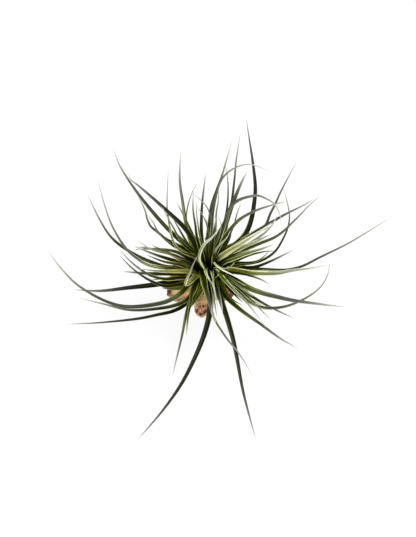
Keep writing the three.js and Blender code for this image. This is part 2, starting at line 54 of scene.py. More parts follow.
# Leaf blades
BASE_SINK = 2  # how far from the stem's axis a leaf starts, well inside the stem
BASE_HEIGHTS = (20.5, 34)  # where old low leaves and young steep ones leave the stem
MIDDLE_HEIGHTS = (20, 65)  # the heights halfway along such leaves
SHEATH_WIDTH = 7.4  # a leaf's clasping base
SHEATH_SHARE = 1.9  # and the most that it can be, as a share of the blade's width
SHEATH_LENGTH = 9  # the distance in which the base narrows to the blade
TIP_WIDTH = 0.3
TIP_BLUNTNESS = 0.8  # below 1, the blade keeps its width longer before the tip
TIP_CUT = 40  # the power of the share of its length at which the thread runs out
TIP_REST = 0.02  # and what is left at the very end, as the square of a share of the width
CHANNEL = 0.24  # how far the blade's edges rise over its middle, as a share of its width
CHANNEL_GROWTH = 0.5  # what that gains towards the tip
CHANNEL_POWER = 1.6  # of the place across, so that the channel is a round one
MIDRIB = 0.5  # least thickness along the middle
MIDRIB_LOSS = 0.5  # the share of that which is gone at the tip
MIDRIB_GROWTH = 0.12  # and what it gains with the blade's width
TWIST = 25  # the most that a blade turns on itself by its tip, in degrees
TWIST_POWER = 1.5  # above 1, most of that comes in the outer half
STEPS_ALONG = 40
STEPS_AROUND = 16
HEART = (1.5, 0, 39)  # where the shade among the leaves is deepest
FADING = (-25, 0, 36)  # where the oldest leaves turn to straw

# The stem that the leaves grow from, with the flat seat between it and its brown foot: radius and height
SEAT_HEIGHT = 18
SEAT_GAP = 0.05  # that the foot keeps to it
STEM_PROFILE = [(4.6, SEAT_HEIGHT), (7.4, 22), (6.8, 30), (4.6, 35), (0.4, 37)]
FOOT_PROFILE = [(8.6, 12.5), (7.9, 15), (6.6, 16.8), (5.4, SEAT_HEIGHT - SEAT_GAP)]

SEED = 20260753
LARGEST = 0xFFFFFFFF  # of the 32-bit whole numbers that random draws and noise are mixed from
SPAN_STEPS = 24  # places worked out between two points of a curve, before they are spread evenly

# The leaves that show from the front. Each leaf is drawn as it shows from the camera: its route from the
# crown to the tip, in millimetres across and up, how high it stands above the surface halfway along and at
# its tip, the width of its blade, and its bloom, from 0, bare and dark, to 1, silver; values just below 0
# paint shade on leaves that lie in shadow, darker than bare.
LEAVES = [
    # Long leaves to the left
    ([(-7, -4), (-13, -9), (-17, -15), (-21, -20), (-28, -24.5), (-37, -27.5), (-65, -29), (-94, -15),
      (-108, -1), (-119, 14)], 40, 60, 4.6, 0.2),
    ([(-6, -10), (-11, -18), (-17, -25), (-26, -29), (-37, -31), (-58, -32), (-79, -27), (-95, -23)], 30,
      34, 4.4, 0.15),
    ([(-7, -14), (-14, -24), (-19, -29), (-27, -33), (-38, -35.5), (-50, -38), (-79, -41), (-104, -42)],
      21, 13, 4.0, 0.0),
    ([(-11, -5), (-18, -8.4), (-25, -10.8), (-36, -13.2), (-58, -15.8), (-79, -18), (-99, -17)], 27, 24,
      6.0, -0.15),
    ([(-9, -8.5), (-15, -13.6), (-20, -16), (-26, -16.6), (-35, -15.8)], 24, 23, 6.4, 0.6),
    ([(-14, -1), (-30, -1.5), (-43, 2.5), (-58, 10), (-71, 20), (-79, 32), (-89, 53)], 50, 88, 4.8, 0.2),
    ([(-22, -3), (-45, 0.5), (-54, 6), (-61, 12.5), (-70, 27), (-75, 40), (-81, 62)], 53, 96, 4.2, 0.5),
    ([(-22, -9), (-32, -9.8), (-43, -7.2), (-50.5, -2.6), (-58, 3.6), (-66, 13)], 37, 58, 4.6, 0.3),
    ([(-15, -12), (-32, -14.8), (-43, -10.8), (-50.5, -6.2), (-57.5, -0.5), (-65, 7.5)], 29, 50, 4.2,
      0.25),
    ([(-22, -6), (-43, -6), (-63, -4)], 33, 34, 7.0, 0.35),
    ([(-18, -4), (-36, -4), (-52, -2)], 40, 45, 4.6, 0.6),
    ([(-25, 7), (-43, 12), (-53, 19)], 47, 58, 4.4, 0.35),
    ([(-25, 3), (-37, 7), (-55, 14)], 43, 50, 5.4, 0.1),
    ([(-22, 9), (-36, 12), (-55, 12)], 44, 38, 4.2, 0.4),
    ([(-20, 0), (-34, 3), (-46, 8)], 42, 47, 5.8, 0.2),
    ([(-16, 2), (-28, 8), (-42, 15)], 44, 50, 6.0, 0.0),
    ([(-16, 0), (-29, 4.5), (-41, 8.5)], 40, 44, 6.0, 0.5),
    ([(-16, -3), (-29, -1.5), (-39, 2.5)], 36, 38, 6.2, 0.3),
    ([(-16, -6.5), (-29, -9), (-42, -10)], 28, 27, 5.0, 0.2),
    # Back left
    ([(-11, 8), (-32, 28), (-49, 48), (-59, 62), (-66, 74), (-70, 86)], 60, 84, 4.8, 0.1),
    ([(-9, 12), (-17, 25.5), (-32, 40.5), (-53, 59), (-57, 62), (-59, 68)], 66, 82, 5.2, -0.2),
    ([(-12, 6), (-27, 15), (-37, 23.5), (-43, 28.5), (-45.5, 34), (-47, 40), (-54, 55)], 44, 62, 4.0,
      0.2),
    ([(-14, 9), (-32, 19.5), (-38, 25), (-41, 31), (-46, 38)], 51, 66, 4.4, 0.1),
    ([(-10, 6), (-20, 10), (-25, 14.5), (-27.5, 20), (-29, 27), (-31, 42), (-30, 71)], 60, 86, 2.8, 0.6),
    ([(-9, 7), (-20, 16), (-27, 28), (-35, 43)], 57, 76, 3.8, 0.15),
    ([(-7, 6), (-16, 14.5), (-21, 20), (-26, 25)], 48, 56, 4.6, 0.1),
    # Back
    ([(-6, 6), (-12.5, 14), (-16, 23), (-18, 32), (-20, 46), (-22, 62), (-21, 85)], 58, 66, 4.4, 0.35),
    ([(-9, 12), (-17, 32), (-14, 50), (-8, 62)], 50, 66, 2.4, 0.5),
    ([(-6, 8), (-9.5, 19), (-11, 30), (-12.5, 41), (-12, 55)], 64, 80, 4.0, 0.1),
    ([(-4, 8), (-7, 18), (-9, 30), (-10, 40), (-9.5, 48)], 70, 86, 3.0, 0.3),
    ([(-4, 8), (-6, 19), (-6, 40), (-3, 68)], 58, 72, 3.8, 0.0),
    ([(0, 14), (1, 30), (-2, 42), (-13, 53)], 80, 94, 2.4, 0.2),
    ([(-2, 12), (-1, 24), (-5, 36), (-10, 44)], 74, 86, 2.2, 0.1),
    ([(3, 12), (7, 22), (8, 30), (5, 37)], 78, 86, 2.4, 0.1),
    ([(-2, 10), (-2, 19), (-0.5, 33), (1, 44), (5, 56), (8, 64), (11, 74), (16, 91)], 80, 102, 4.2, 0.3),
    ([(1, 8), (2.5, 19), (4, 27), (4.5, 38), (6, 48), (6, 58)], 66, 82, 2.8, 0.5),
    ([(1.5, 10), (2.5, 20), (3.5, 28), (4.5, 36)], 68, 78, 5.0, 0.0),
    ([(1, 14), (3, 44), (9, 63), (19, 71), (29, 73), (45, 67)], 88, 82, 3.0, 0.45),
    ([(4, 12), (9, 26), (14.5, 40), (17.5, 60), (19, 76), (22, 96)], 58, 74, 3.2, 0.2),
    ([(5, 14), (12, 39), (13, 60), (11, 74)], 62, 78, 2.8, 0.1),
    ([(1.5, 7), (3.5, 14.5), (7, 22.5), (11.5, 32), (15, 42), (18, 49.5), (22, 59), (27.5, 70)], 64, 74,
      6.8, -0.15),
    ([(7, 6), (14, 12), (19.5, 16), (24, 20.5), (27.5, 26), (30.5, 35), (32, 44), (33, 55), (32, 68),
      (26, 107)], 56, 84, 5.4, -0.2),
    # Back right
    ([(-6.5, 1), (-8.4, 6), (-7, 12), (-4, 16.5), (1, 20.5), (6.5, 27.5)], 70, 96, 5.6, 1.0),
    ([(3, 10), (7, 20), (11, 31), (15.8, 43), (21.6, 47.5), (28.8, 49.7), (34.6, 50.4), (40.3, 48.2),
      (46, 44.6), (49.8, 38), (51, 31)], 84, 78, 4.9, 0.35),
    ([(4, 9), (10.5, 20.5), (16, 28), (21.5, 33.5), (30, 38.5), (42, 43), (58, 47)], 66, 76, 4.2, 0.35),
    ([(8, 15), (17, 29), (20, 39), (23, 46)], 56, 66, 3.2, 0.2),
    ([(4, 6), (9, 14), (14, 22), (18, 30)], 44, 50, 6.4, 0.0),
    ([(5, 6), (9, 12), (13, 18), (15.5, 23)], 42, 46, 6.4, -0.1),
    ([(5, 5), (10, 11), (15, 15.5), (19, 16.5)], 38, 40, 6.0, -0.1),
    ([(6.5, 4), (13, 9.5), (22, 15.5), (31, 21.5), (38, 26), (45, 31.5)], 56, 70, 6.4, 0.95),
    ([(7, 6), (22, 17), (34, 25.5), (40.3, 29.5), (43.2, 36.7), (46.8, 43.9), (51, 53.3), (57, 65),
      (63, 76)], 56, 84, 3.6, 0.3),
    ([(7, 7), (14.4, 12.8), (26, 20.5), (37.4, 27.2), (48, 33.6), (56, 38), (68, 44), (76, 49)], 50, 74,
      4.4, 0.2),
    ([(8, 3.5), (16, 8), (29, 13), (37.5, 16.5), (47, 20.5), (54, 25.5), (58, 29.5), (65, 36.5), (72, 44),
      (80, 51)], 56, 84, 4.4, 0.45),
    ([(9, 5), (22, 12), (34, 19.5), (43, 27), (49, 37)], 56, 76, 4.8, 0.75),
    ([(8, 5), (18.5, 11), (29, 15.5), (37.5, 19.5), (46, 24)], 54, 66, 6.2, 0.65),
    ([(9, 2), (20, 6.5), (30, 10), (38, 12.5), (47, 16)], 49, 60, 6.4, 0.75),
    ([(8, 2.5), (17, 8), (28, 11.5)], 52, 60, 3.6, 0.0),
    ([(10, 0), (22, 1), (37, 3.5), (47, 10), (52.5, 18.5), (56.5, 28), (57.5, 36), (56, 45), (52.5, 57)],
      50, 90, 3.8, 0.25),
    ([(14, -2), (32, -1), (43, 3), (61, 12)], 38, 50, 4.2, 0.0),
    ([(14, 1), (33, 3), (38, 6), (44, 12)], 45, 56, 3.4, 0.1),
    # Right
    ([(11, -1.5), (22, -2), (38, -2.5), (55, -3), (66, -0.5), (79, 6), (101, 17), (130, 35)], 46, 76, 3.2,
      0.5),
    ([(11, -4), (32, -6), (50, -5.5), (58, -4), (72, -2), (86, 1)], 43, 52, 6.6, 0.8),
    ([(9, -11), (22, -22), (37, -30), (52, -30), (68, -24), (80, -15), (85, -6), (86.5, 3)], 30, 56, 4.3,
      0.55),
    ([(8, -4), (16, -9.5), (29, -17), (37.5, -20), (47, -22.5), (58, -25), (72, -27), (100, -30)], 40, 28,
      6.4, 0.35),
    ([(2.5, 2.2), (4.3, 0.7), (8.6, -2.8), (16, -6.5), (25, -11.5), (31, -15)], 70, 88, 1.6, 1.1),
    ([(10, -8), (19, -14), (30, -22), (42, -29), (61, -38)], 27, 18, 4.2, 0.1),
    ([(4, -2.5), (7, -6), (11.5, -11.5), (17, -17.5), (22, -22.5), (27.5, -28), (33, -35), (41, -45)], 64,
      70, 3.6, 0.6),
    ([(5, -14), (12, -23), (22, -32), (36, -42), (50, -52), (64, -60)], 21, 9, 4.8, 0.3),
    ([(12, -10), (29, -24), (39, -34), (45, -40)], 48, 52, 3.4, 0.25),
    ([(5, -4), (14, -8.5), (26, -14.5)], 60, 66, 3.4, 0.0),
    ([(6, -6), (18, -13), (31, -22)], 56, 64, 3.6, 0.1),
    ([(10, -5), (24, -6), (37, -10), (44, -14)], 50, 54, 3.8, 0.1),
    ([(6, -10), (16, -24), (24, -29)], 44, 48, 3.0, 0.2),
    ([(7, -8.5), (13.5, -16), (19.5, -22.5), (24, -26.5)], 36, 38, 3.2, 0.1),
    ([(7, -8), (14, -14), (22, -19.5), (30, -24.5), (38, -28.5)], 40, 40, 3.6, 0.1),
    # Front
    ([(4.5, -10), (6, -18), (9, -28), (12.6, -39), (17.5, -57), (24, -91), (33, -125)], 34, 6, 5.0,
      -0.25),
    ([(0, -14), (0, -32), (-3, -46), (-9, -62), (-20, -84), (-34, -104), (-53, -126)], 29, 5, 5.0, -0.5),
    ([(-6, -12), (-12, -21), (-15.5, -29), (-17.5, -37), (-20, -50), (-27, -79)], 25, 8, 3.6, 0.35),
    ([(-5, -6), (-10, -12.5), (-13, -19), (-14, -27), (-15.5, -35), (-17, -50)], 31, 22, 4.4, 0.25),
    ([(-3, -9), (-8, -18), (-12, -25), (-14.8, -32), (-16.6, -39)], 30, 22, 5.8, 0.35),
    ([(-0.5, 0), (-3.6, -1.8), (-3.4, -5.5), (-1, -9.8), (1.5, -13), (3, -18), (4.3, -24), (5.6, -31)],
      56, 60, 3.8, 0.75),
    ([(1, -3.5), (2, -8), (2.6, -13), (3.2, -18)], 60, 66, 2.8, 0.7),
    ([(-5, -6), (-4.5, -13), (-2, -22), (1, -32), (4.5, -41)], 50, 46, 7.0, 0.4),
    ([(-3, -10), (0, -28), (4, -40), (9, -48), (14, -55), (20, -62), (32, -81)], 44, 40, 2.8, 0.5),
    ([(1, -10), (2.5, -22), (5, -37)], 44, 46, 3.2, 0.7),
    ([(1, -10), (2, -24), (1, -34)], 52, 54, 2.8, 0.5),
    ([(2.5, -8), (5.8, -20), (9, -34)], 56, 60, 6.6, -0.5),
    ([(4, -9), (6.5, -18), (8.3, -27), (9, -32)], 60, 64, 2.2, 0.1),
    ([(-3.6, -5.8), (-4.9, -13), (-7.2, -18.7), (-11, -25), (-15.5, -32)], 30, 22, 5.8, 0.3),
    ([(-4, -6.5), (-4, -13), (-4.4, -17), (-5, -21.5)], 32, 26, 6.4, 0.05),
    ([(-5, -2), (-10, -6.5), (-15, -11.5), (-18.5, -13.6), (-17.6, -10), (-14.8, -4.5), (-12.5, 1),
      (-9.3, 6.8)], 38, 56, 5.6, 0.65),
    # Young leaves round the heart
    ([(1.8, 7.5), (4.3, 11.5), (8.6, 16.6), (12.2, 20.2), (14.4, 25.2)], 64, 82, 3.2, 1.0),
    ([(4, -1), (10, -2), (14.5, -1), (18, 3)], 56, 65, 2.4, 0.8),
    ([(4, -2.5), (6.4, -4.5), (5.6, -7), (3.6, -8.6)], 47, 50, 2.2, 1.0),
]
# Leaves that the front view hides: a low row behind the crown, and short ones filling the crown. They
# spread from a start over a sweep, in degrees, and halfway along stand a shoulder and a share of the tip's
# height
LOW_ROW = dict(
    count=7, start=30, sweep=130, reach=(56, 80), tip=(12, 30), shoulder=22, follow=1 / 3, width=3.6,
    bend=12, bloom=0.15)
CROWN_FILL = dict(
    count=8, start=22, sweep=136, reach=(20, 28), tip=(38, 50), shoulder=-4, follow=1, width=4.8,
    bend=3, bloom=0.0)
PLANNED_SHARES = np.array([0, 0.22, 0.5, 0.78, 1])  # where such a leaf's route has its points
STRAY = 0.5  # how far it may stray from its even place, as a share of the step to the next

# Cork bark: its outline seen from above, anticlockwise from its front lobe, and its profile from the middle
# of the top, over the rim and under to the flat underside, as share of the outline's reach, and height
BARK_THICKNESS = 15
BARK_MIDDLE = np.array([-6, 7])
BARK_REACH = 25  # from the middle to the outline, roughly
BARK_OUTLINE = [
    (-6, -22), (-2, -19), (0.5, -11), (3, -7.5), (8, -6.5), (14, -7), (18, -3), (16, 5), (17, 14), (15, 22),
    (8, 27), (0, 29), (-8, 28), (-17, 27), (-25, 21), (-30, 14), (-29, 7), (-32, 1), (-30.5, -6), (-24, -8.5),
    (-17, -6.5), (-13, -8), (-11.5, -13), (-10.5, -19),
]
BARK_TOP = [
    (0.04, 15), (0.15, 15), (0.3, 15), (0.45, 14.8), (0.58, 14.4), (0.7, 13.8), (0.8, 13), (0.88, 11.6),
    (0.95, 9), (1, 5.5),
]
BARK_PROFILE = BARK_TOP + [(0.97, 2), (0.92, 0), (0.05, 0)]
LUMP_SPACING = 10  # from one lump of the cork to the next
LUMP_HEIGHT = 1.1
FISSURE_DEPTH = 1.6
FISSURE_WIDTH = 0.3  # as a share of the lumps that it runs between
# Layers of its rough skin: height, size of a crumb and seed
ROUGH_LAYERS = [(1.1, 4.0, 1), (0.8, 2.0, 2), (0.45, 0.9, 3)]
MOST_RISE = 0.35  # of a crumb over the smooth shape
PIT_SIZE = 3.0
PIT_SEED = 4
PIT_LEVELS = (0.6, 0.8)  # of the noise, where a pit starts and where it is deepest
PIT_DEPTH = 1.1
SMOOTH_FOOT = 2.5  # height under which the skin turns smooth, so that the underside stays flat
LOW_LEVELS = (-3.0, -0.8)  # lumps as low as the first are darkest, and none above the second is dark
# Dark red hollows, cream patches of painted highlight on the lobes' tops and a painted shadow at the right,
# where the leaves above shade the bark: where each lies, and its radius
HOLLOWS = [
    (-10.8, -19.4, 7.5, 2), (-7, -21, 6.5, 1.7), (-3.4, -19, 7.5, 2.1), (-30, -3, 9, 1.8),
    (-27, -6, 7, 1.6),
]
HIGHLIGHT_SPOTS = [
    (-5, -13, 14, 3), (-2.5, -10, 13, 3), (-19, -5, 13, 5), (-14, -6, 13, 5), (-24, -4, 13, 5),
    (-26, 2, 14, 4),
]
SHADOW_SPOTS = [(14, -4, 11, 11)]

# Wiry roots: direction in degrees, length and sideways bend
ROOTS = [(-104, 12, 2), (-168, 20, -5), (-12, 10, 3), (48, 15, -4), (104, 19, 5), (160, 22, 5)]
ROOT_RADIUS = 1.1
ROOT_START = 2  # from the stem's axis
ROOT_STEPS = 30
ROOT_SIDES = 10
ROOT_LIFT = 0.35  # of a root's middle over the bark's top
ROOT_HEADROOM = 0.6  # between a root and the seat
ROOT_TURN = 9  # radians that the wander's wave goes through along a root
ROOT_TAPER = 0.75  # the share of the radius that is gone at the tip
# Fine roots: how many beside each main one, within how many degrees of it, where they start, and their
# length and radius as shares of its own, then how far they and the main ones wander
FINE_COUNT = 3
FINE_SPREAD = 25
FINE_START = 4
FINE_LENGTHS = (0.6, 1.05)
FINE_RADIUS = 0.3
FINE_WANDER = 0.9
MAIN_WANDER = 0.5

# Settings of nodes: a step that eases in and out, and a mix of two colours, which are inputs 6 and 7
SMOOTH = dict(interpolation_type="SMOOTHSTEP")
COLOURS = dict(output=2, data_type="RGBA")


def random_from(seed):
    """Even numbers from 0 to 1 by mixing a 32-bit counter, the same run every time."""
    state = seed

    def draw():
        nonlocal state
        state = (state + 0x6D2B79F5) & LARGEST
        mixed = ((state ^ (state >> 15)) * (1 | state)) & LARGEST
        mixed = ((mixed + (((mixed ^ (mixed >> 7)) * (61 | mixed)) & LARGEST)) & LARGEST) ^ mixed
        return ((mixed ^ (mixed >> 14)) & LARGEST) / (LARGEST + 1)

    return draw


def between(ends, share):
    """The number that lies at a share of the way between two ends."""
    return ends[0] + (ends[1] - ends[0]) * share


def seen(across, up, height):
    """The points at given heights that show at places of the camera's view, perspective included."""
    sine, cosine = math.sin(VIEW_ELEVATION), math.cos(VIEW_ELEVATION)
    rise = height - CROWN_HEIGHT
    back = (up * (VIEW_DISTANCE - rise * sine) / VIEW_DISTANCE - rise * cosine) / (
        sine - up * cosine / VIEW_DISTANCE)
    nearer = rise * sine - back * cosine
    return np.column_stack([across * (VIEW_DISTANCE - nearer) / VIEW_DISTANCE, back, height])


def leaf_base_height(middle_height):
    """Old low leaves grow from the bottom of the stem, and young steep ones from its top."""
    return float(np.interp(middle_height, MIDDLE_HEIGHTS, BASE_HEIGHTS))


def arc(start, middle, end, share):
    """The parabola through three heights at the start, the middle and the end."""
    return start + (4 * middle - 3 * start - end) * share + (2 * start + 2 * end - 4 * middle) * share**2


def drawn_leaf(route, middle_height, tip_height, width, bloom):
    """Lifts a leaf's drawn route into space: each place gets its height from the leaf's parabola."""
    base_height = leaf_base_height(middle_height)
    start = (0, (base_height - CROWN_HEIGHT) * math.cos(VIEW_ELEVATION))
    flat = np.array([start] + route, float)
    runs = np.concatenate([[0], np.cumsum(np.linalg.norm(np.diff(flat, axis=0), axis=1))])
    heights = arc(base_height, middle_height, tip_height, runs / runs[-1])
    points = seen(flat[1:, 0], flat[1:, 1], heights[1:])
    lean = points[0, :2] + points[1, :2]
    lean = lean / np.linalg.norm(lean)
    base = np.array([lean[0] * BASE_SINK, lean[1] * BASE_SINK, base_height])
    return dict(points=np.vstack([base, points]), width=width, lean=lean, bloom=bloom, age=base_height)


def planned_leaf(azimuth, reach, middle_height, tip_height, width, bend, bloom):
    """A leaf that leaves the stem at an azimuth and arches to its tip with a bend to one side."""
    base_height = leaf_base_height(middle_height)
    angle = math.radians(azimuth)
    lean = np.array([math.cos(angle), math.sin(angle)])
    share = PLANNED_SHARES
    out = between((BASE_SINK, reach), share)
    aside = bend * share**2
    points = np.column_stack([
        lean[0] * out - lean[1] * aside, lean[1] * out + lean[0] * aside,
        arc(base_height, middle_height, tip_height, share)])
    return dict(points=points, width=width, lean=lean, bloom=bloom, age=base_height)


def hidden_leaves():
    """The low row behind the crown and the short leaves that fill it, in the same order as the solids'."""
    random = random_from(SEED)
    leaves = []
    for plan in LOW_ROW, CROWN_FILL:
        for i in range(plan["count"]):
            azimuth = plan["start"] + plan["sweep"] * (i + STRAY * random()) / plan["count"]
            tip = between(plan["tip"], random())
            reach = between(plan["reach"], random())
            bend = between((-plan["bend"], plan["bend"]), random())
            middle = plan["shoulder"] + plan["follow"] * tip
            leaves.append(planned_leaf(azimuth, reach, middle, tip, plan["width"], bend, plan["bloom"]))
    return leaves


def spline(points, count, closed=False):
    """A centripetal Catmull-Rom curve: a cubic between each two points, its slopes taken from the neighbours
    with each span weighted by the root of its length, then places at even distances along it. Returns the
    places and the curve's length."""
    points = np.asarray(points, float)
    if closed:
        padded = np.vstack([points[-1:], points, points[:2]])
    else:
        padded = np.vstack([2 * points[:1] - points[1:2], points, 2 * points[-1:] - points[-2:-1]])
    root = np.sqrt(np.linalg.norm(np.diff(padded, axis=0), axis=1))[:, None]
    before, span, after = root[:-2], root[1:-1], root[2:]
    a, b, c, d = padded[:-3], padded[1:-2], padded[2:-1], padded[3:]
    leaving = ((b - a) / before - (c - a) / (before + span) + (c - b) / span) * span
    arriving = ((c - b) / span - (d - b) / (span + after) + (d - c) / after) * span
    t = np.linspace(0, 1, SPAN_STEPS, endpoint=False)[None, :, None]
    b, c, leaving, arriving = b[:, None], c[:, None], leaving[:, None], arriving[:, None]
    samples = ((2 * t**3 - 3 * t**2 + 1) * b + (t**3 - 2 * t**2 + t) * leaving
               + (3 * t**2 - 2 * t**3) * c + (t**3 - t**2) * arriving)
    samples = samples.reshape(-1, points.shape[1])
    samples = np.vstack([samples, points[:1] if closed else points[-1:]])
    run = np.concatenate([[0], np.cumsum(np.linalg.norm(np.diff(samples, axis=0), axis=1))])
    even = np.linspace(0, run[-1], count, endpoint=not closed)
    return np.column_stack([np.interp(even, run, column) for column in samples.T]), run[-1]


def carried_sides(tangents, side):
    """Carries a sideways direction along many curves at once, keeping it square to each curve."""
    sides = np.empty_like(tangents)
    for i in range(tangents.shape[1]):
        side = side - np.sum(side * tangents[:, i], axis=1, keepdims=True) * tangents[:, i]
        side = side / np.linalg.norm(side, axis=1, keepdims=True)
        sides[:, i] = side
    return sides


def lattice_noise(points, cell, seed):
    """Smooth noise from 0 to 1: a mixed whole number at each corner of a lattice, blended between corners."""
    place = points / cell
    corner = np.floor(place).astype(np.int64)
    part = place - corner
    part = part * part * (3 - 2 * part)
    total = np.zeros(len(points))
    for offset in np.ndindex(2, 2, 2):
        x, y, z = (corner + offset).T
        mixed = (x * 374761393 + y * 668265263 + z * 1274126177 + seed * 974711) & LARGEST
        mixed = ((mixed ^ (mixed >> 13)) * 1103515245) & LARGEST
        mixed = ((mixed ^ (mixed >> 16)) * 668265263) & LARGEST
        weight = np.prod(np.where(offset, part, 1 - part), axis=1)
        total += weight * ((mixed ^ (mixed >> 15)) & 0xFFFF) / 0xFFFF
    return total


def closed_faces(rows, columns, first, centres):
    """The faces of a grid of rows that each close on themselves: a quad between each two rows and columns,
    and a fan of triangles at either end, from the row to the point at its centre."""
    start, following = np.arange(columns), (np.arange(columns) + 1) % columns
    down = first + np.arange(rows - 1)[:, None] * columns
    quads = np.stack(
        [down + start, down + following, down + following + columns, down + start + columns], axis=-1)
    last = first + (rows - 1) * columns
    return [
        quads.reshape(-1, 4),
        np.stack([first + following, first + start, np.full(columns, centres[0])], axis=1),
        np.stack([last + start, last + following, np.full(columns, centres[1])], axis=1)]


def turned(profile, columns, ripple):
    """A profile of radius and height turned round the upright axis, with the radius times a ripple that
    depends on the turn and the height, and a point on the axis at either end. Returns points and faces."""
    turn = np.linspace(0, 2 * np.pi, columns, endpoint=False)[None, :]
    radius, height = profile[:, :1], profile[:, 1:]
    radius = radius * ripple(turn, height)
    rings = np.stack([radius * np.cos(turn), radius * np.sin(turn), height + 0 * turn], axis=-1)
    ends = [[0, 0, profile[0, 1]], [0, 0, profile[-1, 1]]]
    size = len(profile) * columns
    return np.vstack([rings.reshape(-1, 3), ends]), closed_faces(len(profile), columns, 0, (size, size + 1))


def tube(path, radius, columns):
    """A round tube: at each step of a path a circle square to it, of the radius given there. Returns its
    points, rings first."""
    tangents = np.gradient(path, axis=0)
    tangents /= np.linalg.norm(tangents, axis=1, keepdims=True)
    sides = carried_sides(tangents[None], np.array([[0.0, 0.0, 1.0]]))[0]
    others = np.cross(tangents, sides)
    turn = np.linspace(0, 2 * np.pi, columns, endpoint=False)[None, :, None]
    rings = path[:, None] + radius[:, None, None] * (
        sides[:, None] * np.cos(turn) + others[:, None] * np.sin(turn))
    return np.vstack([rings.reshape(-1, 3), path[:1], path[-1:]])


def mesh_piece(name, vertices, faces, material, nodes, attributes):
    """Makes a piece from points in millimetres, rides it on the one body and gives it its finish."""
    mesh = bpy.data.meshes.new(name)
    mesh.from_pydata((vertices * MM).tolist(), [], [face for block in faces for face in block.tolist()])
    mesh.update()
    mesh.polygons.foreach_set("use_smooth", np.ones(len(mesh.polygons), bool))
    for label, values in attributes.items():
        layer = mesh.attributes.new(label, "FLOAT", "POINT")
        layer.data.foreach_set("value", np.ascontiguousarray(values, np.float32))
    mesh.materials.append(material)
    piece = bpy.data.objects.new(name, mesh)
    bpy.context.collection.objects.link(piece)
    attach(piece, "root")
    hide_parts(*nodes)


def linear(hex_colour):
    """An sRGB hex colour as linear red, green, blue and alpha."""
    channels = [int(hex_colour[i:i + 2], 16) / 255 for i in (1, 3, 5)]
    return [c / 12.92 if c <= 0.04045 else ((c + 0.055) / 1.055) ** 2.4 for c in channels] + [1.0]


def add(tree, kind, inputs, output=0, stops=(), **settings):
    """Adds a node with its settings, sets or links its inputs, gives a colour ramp its stops, and returns one
    of its outputs."""
    node = tree.nodes.new("ShaderNode" + kind)
    for setting, value in settings.items():
        setattr(node, setting, value)
    for socket, value in inputs.items():
        if isinstance(value, bpy.types.NodeSocket):
            tree.links.new(value, node.inputs[socket])
        else:
            node.inputs[socket].default_value = value
    if stops:
        elements = node.color_ramp.elements
        elements.remove(elements[1])
        for i, (place, colour) in enumerate(stops):
            element = elements.new(place) if i else elements[0]
            element.position = place
            element.color = linear(colour)
    return node.outputs[output]


def new_finish(name):
    """An empty material with its tree, its surface shader and nothing else set."""
    material = bpy.data.materials.new(name)
    material.use_nodes = True
    tree = material.node_tree
    return material, tree, tree.nodes["Principled BSDF"]


